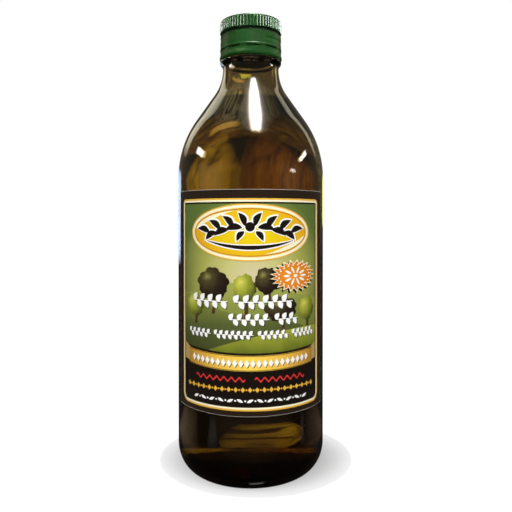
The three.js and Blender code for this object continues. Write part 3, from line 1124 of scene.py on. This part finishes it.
def make_label_picture():
    """A generic grove on hills, in greens and dark browns."""
    half, low, high = PICTURE
    glow_centre, glow_size = (1 * MM, 116 * MM), (48 * MM, 44 * MM)
    sky = rounded_rectangle(half, low, high, 0.2 * MM, 0.2 * MM)
    sky_ink = graded_ink("grove_sky", "outwards", PICTURE_SKY, 0.12)
    parts = [print_patch("sky", [sky], 3, sky_ink, uv_centre=glow_centre, uv_size=glow_size)]
    for name, layer, stops, figures in GROVE_HILLS:
        slope = graded_ink(name, "upwards", stops, 0.25)
        ground = hill(skyline(*figures))
        parts.append(print_patch(name, [ground], layer, slope, uv_centre=(0, low), uv_size=(half, 48 * MM)))
    dark = graded_ink("tree_crown", "outwards", TREE_CROWN, 0.35)
    pale = graded_ink("light_crown", "outwards", LIGHT_CROWN, 0.35)
    for i, (u, v, across, up, foot, light) in enumerate(GROVE_TREES):
        u, v, across, up = u * MM, v * MM, across * MM, up * MM
        stem = trunk((u + 0.6 * MM, foot * MM), (u, v), 1.7 * MM)
        parts.append(print_patch("trunk", [stem], 5, ink("bark_brown")))
        crown = tree_crown((u, v), across, up, 1.7 * i)
        glow, reach = (u - 0.35 * across, v + 0.4 * up), (1.5 * across, 1.5 * up)
        parts.append(
            print_patch("crown", [crown], 6, pale if light else dark, uv_centre=glow, uv_size=reach)
        )
    shadow = hill(lambda u: ribbon_middle(u) + 5.3 * MM)
    parts.append(print_patch("ribbon_shadow", [shadow], 6, ink("black")))
    keep(join_pieces("label_picture", parts), "label")


def ribbon_middle(u):
    return RIBBON_LEVEL + RIBBON_SAG * u * u


def badge_glint(first, last, steps=18):
    """A cream crescent inside the badge's rim, from one angle to another."""
    centre, across, up = BADGE
    inset, thickness = 3.3 * MM, 0.13
    outer, inner = [], []
    for i in range(steps + 1):
        a = math.radians(first + (last - first) * i / steps)
        share = 1 - thickness * math.sin(math.pi * i / steps)
        x, y = (across - inset) * math.cos(a), (up - inset) * math.sin(a)
        outer.append((centre[0] + x, centre[1] + y))
        inner.append((centre[0] + x * share, centre[1] + y * share))
    return outer + inner[-2:0:-1]


def make_label_badge():
    """A yellow oval in gold, cream and brown rims."""
    centre, across, up = BADGE
    yellow = graded_ink("badge_yellow", "outwards", BADGE_YELLOW)
    parts = []
    rims = (("gold", 0, 0.7), ("cream", 0.7, 2.1), ("gold", 2.1, 2.6), ("warm_brown", 2.6, 2.95))
    for kind, outer, inner in rims:
        edges = [ellipse(centre, across - inset * MM, up - inset * MM) for inset in (outer, inner)]
        parts.append(print_patch(kind + "_rim", ring_outlines(*edges), 8, ink(kind)))
    field = ellipse(centre, across - 2.9 * MM, up - 2.9 * MM)
    parts.append(print_patch("yellow_field", [field], 8, yellow, uv_centre=centre, uv_size=(across, up)))
    for name, first, last in (("upper_glint", 104, 172), ("lower_glint", 284, 352)):
        parts.append(print_patch(name, [badge_glint(first, last)], 9, ink("cream")))
    keep(join_pieces("label_badge", parts), "label")


def garland(grow):
    """Mirrored leafy branches from a middle berry, each outline grown by the given amount."""
    centre, _, _ = BADGE
    berry, half_sweep = 2.5 * MM, 24 * MM
    outlines = [ellipse((centre[0], centre[1] + 3 * MM), berry + grow, berry + grow, 28)]
    for side in (1, -1):
        for along, rise, tilt, length, width in GARLAND_LEAVES:
            turn = math.radians(tilt)
            start = turned((centre[0] + along * MM, centre[1] + rise * MM), -grow, 0, turn)
            leaf = leaf_outline(start, length * MM + 2.4 * grow, width * MM + 2 * grow, turn, 12)
            outlines.append([(centre[0] + side * (u - centre[0]), v) for u, v in leaf])
    sweep_top, sweep_low = [], []
    for i in range(41):
        t = -1 + 2 * i / 40
        thick = 1.9 * MM * (1 - abs(t) ** 1.6) + 0.3 * MM + 1.6 * grow
        middle = centre[1] - 8.0 * MM + 3.6 * MM * t * t
        sweep_top.append((t * (half_sweep + grow), middle + thick / 2))
        sweep_low.append((t * (half_sweep + grow), middle - thick / 2))
    outlines.append(sweep_low + sweep_top[::-1])
    return outlines


def make_label_garland():
    """A black garland edged in white, a common printer's ornament."""
    parts = []
    for name, kind, grow, layer in (("edge", "white", 0.75 * MM, 10), ("leaf", "black", 0, 11.4)):
        for i, outline in enumerate(garland(grow)):
            # Leaves that cross lie at slightly different levels.
            parts.append(print_patch(name, [outline], layer + 0.05 * (i % 7), ink(kind)))
    keep(join_pieces("label_garland", parts), "label")


def make_label_burst():
    """An orange star with a drop shadow and a plain white rosette."""
    (u, v), across, up = BURST
    drop, rim, rim_up = 0.9 * MM, 1.0 * MM, 0.8 * MM
    orange = graded_ink("orange", "outwards", BURST_ORANGE)
    face = starburst((u, v), across - rim, up - rim_up)
    parts = [
        print_patch("shadow", [starburst((u - drop, v - drop), across, up)], 7, ink("black")),
        print_patch("edge", [starburst((u, v), across, up)], 8, ink("cream")),
        print_patch("burst", [face], 9, orange, uv_centre=(u, v), uv_size=(across, up)),
    ]
    petals, dots = 10, 20
    rosette = [ellipse((u, v), 1.3 * MM, 0.85 * MM, 20)]
    for i in range(petals):
        a = 2 * math.pi * i / petals
        x, y = 5.6 * MM * math.cos(a), 3.3 * MM * math.sin(a)
        rosette.append(ellipse((u + x, v + y), 2.0 * MM, 0.6 * MM, 18, math.atan2(y, x)))
    for i in range(dots):
        a = 2 * math.pi * (i + 0.5) / dots
        place = (u + 10.2 * MM * math.cos(a), v + 5.9 * MM * math.sin(a))
        rosette.append(ellipse(place, 0.5 * MM, 0.4 * MM, 12))
    parts.append(print_patch("rosette", rosette, 10, ink("white")))
    keep(join_pieces("label_burst", parts), "label")


def vine(name, height, level, left, right, kind, layer, shift):
    """A run of leaves to either side of a thin stem."""
    left, level = left + shift[0], level + shift[1]
    right += shift[0]
    count = max(2, int((right - left) / (0.31 * height)))
    leaf = leaf_outline((0, 0), 0.58 * height, 0.40 * height, 0, 8, 0.06)
    step = ((right - left) / count, 0)
    leaves = print_row(name, leaf, layer, ink(kind), count, (left, level), step, tilt=math.radians(58))
    stem = band_outline(left, right + 0.1 * height, 0.07 * height, lambda u: level, 12)
    return [leaves, print_patch(name + "_stem", [stem], layer, ink(kind))]


def make_label_titles():
    """Three rows of white leaf vines with a dark shadow."""
    parts = []
    for level, height, runs in TITLE_ROWS:
        for left, right in runs:
            run = (height * MM, level * MM, left * MM, right * MM)
            parts += vine("shadow", *run, "black", 7.6, (0.45 * MM, -0.4 * MM))
            parts += vine("vine", *run, "white", 8.8, (0, 0))
    keep(join_pieces("label_titles", parts), "label")


def diamond(half_width, half_height):
    return [(-half_width, 0), (0, -half_height), (half_width, 0), (0, half_height)]


def make_label_ribbon():
    """A gold ribbon with folded ends, edge lines and a row of diamonds."""
    gold = graded_ink("ribbon_gold", "sideways", RIBBON_GOLD)
    inner, outer = 35.6 * MM, 42.2 * MM
    fold = ((inner, 68.6 * MM), (outer, 69.6 * MM), (outer, 78.6 * MM), (inner, 75.4 * MM))
    parts = []
    for side in (1, -1):
        end = [(side * u, v) for u, v in fold][::side]
        parts.append(print_patch("fold", [end], 7, ink("dull_gold")))
    band = band_outline(RIBBON_LEFT, RIBBON_RIGHT, RIBBON_HEIGHT, ribbon_middle)
    parts.append(print_patch("band", [band], 8, gold, uv_centre=(0, 70 * MM), uv_size=(40 * MM, 8 * MM)))
    line, lift = 0.35 * MM, 3.75 * MM
    for side in (1, -1):
        edge = band_outline(RIBBON_LEFT, RIBBON_RIGHT, line, lambda u: ribbon_middle(u) + side * lift)
        parts.append(print_patch("edge_line", [edge], 8.8, ink("dark_bronze")))
    shape, step = diamond(1.35 * MM, 2.1 * MM), (3.2 * MM, 0)
    for name, kind, layer, shift in (("shadow", "dark_bronze", 9, 0.4 * MM), ("diamond", "white", 10, 0)):
        start = (-33.6 * MM + shift, 70.4 * MM - shift)
        parts.append(print_row(name, shape, layer, ink(kind), 22, start, step, sag=RIBBON_SAG))
    keep(join_pieces("label_ribbon", parts), "label")


def make_label_small_rows():
    """Two red waves, a gold row of lozenges and beads, and a white row of dashes and dots."""
    parts = []
    wave_level, wave_height, wave_length = 62 * MM, 0.95 * MM, 4.2
    for left, right in ((-32, -2.5), (2.5, 32)):
        turns = 2 * math.pi * round((right - left) / wave_length) / (right - left)
        wave = band_outline(
            left * MM, right * MM, 1.1 * MM,
            lambda u: wave_level + wave_height * math.sin(turns * (u / MM - left)), 90,
        )
        parts.append(print_patch("wave", [wave], 6, ink("red")))
    bead = ellipse((0, 0), 0.5 * MM, 0.5 * MM, 14)
    dash = leaf_outline((-1.9 * MM, 0), 3.8 * MM, 1.5 * MM, 0, 8, 0)
    gold_level, gold_step, white_level, white_step = 56.6 * MM, 3.8 * MM, 50.8 * MM, 5.35 * MM
    for name, outline, kind, count, start, level, step, tilt in (
        ("lozenge", diamond(1.2 * MM, 1.45 * MM), "gold", 21, -38 * MM, gold_level, gold_step, 0),
        ("bead", bead, "gold", 20, -36.1 * MM, gold_level, gold_step, 0),
        ("dash", dash, "white", 13, -32 * MM, white_level, white_step, 24),
        ("dot", bead, "white", 12, -29.3 * MM, white_level, white_step, 0),
    ):
        place, tilt = (start, level), math.radians(tilt)
        parts.append(print_row(name, outline, 6, ink(kind), count, place, (step, 0), tilt=tilt))
    keep(join_pieces("label_small_rows", parts), "label")


# Stage

def area_light(name, place, target, width, height, radiance):
    """A lamp of even brightness, which lights surfaces but shows in no reflection."""
    data = bpy.data.lights.new(name, "AREA")
    data.shape = "RECTANGLE"
    data.size, data.size_y = width, height
    data.energy = radiance * width * height * math.pi ** 2
    lamp = add_object(name, data)
    lamp.location = place
    lamp.rotation_euler = (Vector(target) - Vector(place)).to_track_quat("-Z", "Y").to_euler()
    lamp.visible_glossy = False
    lamp.visible_transmission = False


def around(azimuth, distance, height):
    """A place round the bottle. Azimuth 0 is in front of it and 90 degrees to its right."""
    return on_round(distance, math.radians(azimuth), height)


def make_floor():
    """White board whose glow hides its far edge and dims round the bottle's foot as a painted shadow. Glass
    doesn't see it, so the heel stays dark.
    """
    mesh = bpy.data.meshes.new("floor")
    reach = FLOOR_REACH
    corners = [(-reach, -reach, 0), (reach, -reach, 0), (reach, reach, 0), (-reach, reach, 0)]
    mesh.from_pydata(corners, [], [(0, 1, 2, 3)])
    material, tree, shader, _ = new_material(
        "white_matt_studio_board", Base_Color=rgba("545454"), Roughness=0.9, Emission_Color=(1, 1, 1, 1)
    )
    place = add_node(tree, "ShaderNodeTexCoord").outputs["Object"]
    (x, y), (across, along) = SHADE_MIDDLE, SHADE_SIZE
    offset = add_node(tree, "ShaderNodeVectorMath", (place, (-x, -y, 0)), operation="ADD")
    scaled = add_node(
        tree, "ShaderNodeVectorMath", (offset, (1 / across, 1 / along, 0)), operation="MULTIPLY"
    )
    away = add_node(tree, "ShaderNodeVectorMath", (scaled,), operation="LENGTH").outputs["Value"]
    # The glow dims towards the bottle: a painted shadow round its foot.
    ramp = add_node(tree, "ShaderNodeValToRGB", (away,))
    set_stops(ramp, [(position, (glow, glow, glow)) for position, glow in FLOOR_GLOW])
    tree.links.new(ramp.outputs["Color"], shader.inputs["Emission Strength"])
    mesh.materials.append(material)
    floor = add_object("floor", mesh)
    floor.visible_glossy = False
    floor.visible_transmission = False
    floor.visible_diffuse = False


def make_world():
    """White to the camera and a dim room, darker below, to the glass."""
    world = bpy.data.worlds.new("studio")
    bpy.context.scene.world = world
    world.use_nodes = True
    tree = world.node_tree
    tree.nodes.clear()
    path = add_node(tree, "ShaderNodeLightPath").outputs["Is Camera Ray"]
    place = add_node(tree, "ShaderNodeTexCoord").outputs["Generated"]
    rise = add_node(tree, "ShaderNodeSeparateXYZ", (place,)).outputs["Z"]
    lift = add_node(tree, "ShaderNodeMath", (rise, 0.5, 0.5), operation="MULTIPLY_ADD")
    ramp = add_node(tree, "ShaderNodeValToRGB", (lift,))
    set_stops(ramp, ROOM_SKY)
    room = add_node(tree, "ShaderNodeBackground", {"Color": ramp, "Strength": 1.0})
    paper = add_node(tree, "ShaderNodeBackground", {"Color": (1, 1, 1, 1), "Strength": 1.0})
    mixed = add_node(tree, "ShaderNodeMixShader", (path, room, paper))
    add_node(tree, "ShaderNodeOutputWorld", {"Surface": mixed})


def light_card(name, place, target, width, height, roll, seen):
    """A card of added light, seen as a shine on surfaces, through glass, or both ways."""
    mesh = bpy.data.meshes.new(name)
    w, h = width / 2, height / 2
    mesh.from_pydata([(-w, -h, 0), (w, -h, 0), (w, h, 0), (-w, h, 0)], [], [(0, 1, 2, 3)])
    material = bpy.data.materials.new(name)
    material.use_nodes = True
    tree = material.node_tree
    tree.nodes.clear()
    clear = add_node(tree, "ShaderNodeBsdfTransparent")
    lamp = add_node(tree, "ShaderNodeEmission")
    both = add_node(tree, "ShaderNodeAddShader", (clear, lamp))
    add_node(tree, "ShaderNodeOutputMaterial", {"Surface": both})
    mesh.materials.append(material)
    card = add_object(name, mesh)
    card.location = place
    facing = (Vector(target) - Vector(place)).to_track_quat("Z", "Y")
    card.rotation_euler = (facing @ Matrix.Rotation(roll, 3, "Z").to_quaternion()).to_euler()
    card.visible_camera = False
    card.visible_diffuse = False
    card.visible_shadow = False
    card.visible_glossy = seen != "glass"
    card.visible_transmission = seen != "shine"
    where = add_node(tree, "ShaderNodeTexCoord").outputs["Object"]
    return tree, lamp, where, add_node(tree, "ShaderNodeSeparateXYZ", (where,)).outputs


def fall_off(tree, socket, reach, power):
    """Nearly even up to the reach, then falling softly."""
    size = add_node(tree, "ShaderNodeMath", (socket,), operation="ABSOLUTE")
    share = add_node(tree, "ShaderNodeMath", (size, reach), operation="DIVIDE")
    raised = add_node(tree, "ShaderNodeMath", (share, power), operation="POWER")
    minus = add_node(tree, "ShaderNodeMath", (raised, -1.0), operation="MULTIPLY")
    return add_node(tree, "ShaderNodeMath", (minus,), operation="EXPONENT")


def glow_card(name, place, target, size, core, halo, roll):
    """A bright core in a soft halo, each given as strength and width, as a flash tube shows in glass."""
    tree, lamp, _, axes = light_card(name, place, target, *size, roll, "both")
    parts = []
    for (strength, width), power in ((core, 4.0), (halo, 2.0)):
        bell = fall_off(tree, axes["X"], width / 2, power)
        parts.append(add_node(tree, "ShaderNodeMath", (bell, strength), operation="MULTIPLY"))
    total = add_node(tree, "ShaderNodeMath", parts, operation="ADD")
    ends = fall_off(tree, axes["Y"], 0.45 * size[1], 8.0)
    faded = add_node(tree, "ShaderNodeMath", (total, ends), operation="MULTIPLY")
    tree.links.new(faded.outputs[0], lamp.inputs["Strength"])


def view_card(
    name, place, target, size, strength, stops, grain=0.1, stretch=(1, 1), roll=0.0, edge=4.0, seen="shine"
):
    """Part of the room as the glass shows it: soft streaks of a few colours."""
    tree, lamp, where, axes = light_card(name, place, target, *size, roll, seen)
    scaled = add_node(tree, "ShaderNodeVectorMath", (where, (*stretch, 1)), operation="MULTIPLY")
    streaks = add_node(
        tree,
        "ShaderNodeTexNoise",
        {"Vector": scaled, "Scale": 1 / grain, "Detail": 3.0, "Distortion": 0.6},
    )
    ramp = add_node(tree, "ShaderNodeValToRGB", (streaks,))
    set_stops(ramp, stops)
    tree.links.new(ramp.outputs["Color"], lamp.inputs["Color"])
    sides = fall_off(tree, axes["X"], 0.46 * size[0], edge)
    ends = fall_off(tree, axes["Y"], 0.46 * size[1], edge)
    mask = add_node(tree, "ShaderNodeMath", (sides, ends), operation="MULTIPLY")
    power = add_node(tree, "ShaderNodeMath", (mask, strength), operation="MULTIPLY")
    tree.links.new(power.outputs[0], lamp.inputs["Strength"])


def make_camera():
    data = bpy.data.cameras.new("camera")
    data.lens, data.sensor_width = CAMERA_LENS, CAMERA_SENSOR
    data.shift_y = CAMERA_SHIFT
    camera = add_object("camera", data)
    camera.location = CAMERA_PLACE
    camera.rotation_euler = (math.radians(90 - CAMERA_TILT), 0, 0)
    bpy.context.scene.camera = camera
    bpy.context.scene.view_settings.view_transform = "Standard"


def lit_only(pieces, cards):
    """Lets cards light these pieces and no others."""
    receivers = bpy.data.collections.new("lit_by_" + cards[0])
    for name in pieces:
        receivers.objects.link(bpy.data.objects[name])
    for name in cards:
        bpy.data.objects[name].light_linking.receiver_collection = receivers


def make_lights():
    """The room round the bottle: a flash tube, windows and walls as cards, and two soft fill lamps."""
    glow_card(
        "top_strip", (0.064, -0.155, 0.80), (0.02, 0, 0.2), (0.7, 0.56),
        core=(30.0, 0.155), halo=(4.0, 0.22), roll=0.17,
    )
    lit_only((*GLASS, "cap_skirt"), ["top_strip"])
    view_card(
        "ceiling", (-0.12, -0.1, 0.95), (-0.12, -0.1, 0), (1.1, 0.9), 1.3, CEILING,
        stretch=(1, 2.2), roll=0.2,
    )
    view_card(
        "amber_panel", (-0.42, -0.2, 0.80), FRONT, (0.58, 0.11), 4.5, ORANGE,
        grain=0.05, roll=-0.68, edge=6,
    )
    lit_only(GLASS, ["ceiling", "amber_panel"])
    far_green = (-0.065, 1.0, 0.485)
    view_card("far_green", far_green, FRONT, (0.13, 0.053), 2.0, GREEN_PATCH, grain=0.03, seen="glass")
    for pieces, cards in ROOM_CARDS.items():
        for name, place, aim, size, strength, stops, rest in cards:
            view_card(name, around(*place), aim, size, strength, stops, **rest)
        lit_only(pieces, [card[0] for card in cards])
    for name, place, *look in BACK_CARDS:
        view_card(name, around(*place), MIDDLE, *look, "glass")
    for name, place, *look in TABLE_CARDS:
        view_card(name, place, (*place[:2], 1), *look, "glass")
    for name, place, size, strength, stops, roll in FLOOR_CARDS:
        at, above = (*place, FLOOR_CARD_HEIGHT), (*place, 1)
        view_card(name, at, above, size, strength, stops, grain=0.05, roll=roll)
    lit_only(GLASS, ["floor_front", "floor_left", "floor_right", "floor_ahead"])
    for name, azimuth, radiance in (("left_fill", -42, 3.8), ("right_fill", 38, 4.2)):
        area_light(name, around(azimuth, 1.1, 1.0), MIDDLE, 0.6, 0.8, radiance)


class PieceOperator:
    """What the operators share: each runs its build functions once."""

    bl_options = {"REGISTER", "UNDO"}
    build = ()

    def execute(self, context):
        for make in self.build:
            make()
        return {"FINISHED"}


class OILBOTTLE_OT_glass(PieceOperator, bpy.types.Operator):
    """Make the glass bottle: one turned piece, open at its mouth"""

    bl_idname = "oil_bottle.glass"
    bl_label = "Glass"
    build = (make_glass,)


class OILBOTTLE_OT_oil(PieceOperator, bpy.types.Operator):
    """Make the oil up to its level"""

    bl_idname = "oil_bottle.oil"
    bl_label = "Oil"
    build = (make_oil,)


class OILBOTTLE_OT_cap(PieceOperator, bpy.types.Operator):
    """Make the roll-on cap: skirt, grip ridges, bridges and tamper band"""

    bl_idname = "oil_bottle.cap"
    bl_label = "Screw Cap"
    build = (make_cap,)


class OILBOTTLE_OT_label_ground(PieceOperator, bpy.types.Operator):
    """Make the label paper with its dark ground and its framed fields"""

    bl_idname = "oil_bottle.label_ground"
    bl_label = "Label Ground"
    build = (make_label_paper, make_label_frame)


class OILBOTTLE_OT_label_picture(PieceOperator, bpy.types.Operator):
    """Print the grove, the badge with its garland and the burst"""

    bl_idname = "oil_bottle.label_picture"
    bl_label = "Label Picture"
    build = (make_label_picture, make_label_badge, make_label_garland, make_label_burst)


class OILBOTTLE_OT_label_rows(PieceOperator, bpy.types.Operator):
    """Print the rows of ornament and the ribbon"""

    bl_idname = "oil_bottle.label_rows"
    bl_label = "Label Rows"
    build = (make_label_titles, make_label_ribbon, make_label_small_rows)


class OILBOTTLE_OT_stage(PieceOperator, bpy.types.Operator):
    """Set the studio: floor, surroundings, lamps and camera"""

    bl_idname = "oil_bottle.stage"
    bl_label = "Stage"
    build = (make_floor, make_world, make_lights, make_camera)


OPERATORS = (
    OILBOTTLE_OT_glass,
    OILBOTTLE_OT_oil,
    OILBOTTLE_OT_cap,
    OILBOTTLE_OT_label_ground,
    OILBOTTLE_OT_label_picture,
    OILBOTTLE_OT_label_rows,
    OILBOTTLE_OT_stage,
)


class OILBOTTLE_PT_sidebar(bpy.types.Panel):
    """Lists the sizes, the colours and the pieces in the 3D view's sidebar"""

    bl_idname = "OILBOTTLE_PT_sidebar"
    bl_label = "Olive Oil Bottle"
    bl_space_type = "VIEW_3D"
    bl_region_type = "UI"
    bl_category = "Oil Bottle"

    def draw(self, context):
        for group in (context.scene.oil_bottle_sizes, context.scene.oil_bottle_colours):
            box = self.layout.box()
            for name in group.__annotations__:
                box.prop(group, name)
        for operator in OPERATORS:
            self.layout.operator(operator.bl_idname)


CLASSES = (BottleSizes, BottleColours, *OPERATORS, OILBOTTLE_PT_sidebar)


def register():
    for item in CLASSES:
        bpy.utils.register_class(item)
    bpy.types.Scene.oil_bottle_sizes = bpy.props.PointerProperty(type=BottleSizes)
    bpy.types.Scene.oil_bottle_colours = bpy.props.PointerProperty(type=BottleColours)


def unregister():
    del bpy.types.Scene.oil_bottle_colours
    del bpy.types.Scene.oil_bottle_sizes
    for item in reversed(CLASSES):
        bpy.utils.unregister_class(item)


def main():
    register()
    for operator in OPERATORS:
        getattr(bpy.ops.oil_bottle, operator.bl_idname.split(".")[1])()


if __name__ == "__main__":
    main()
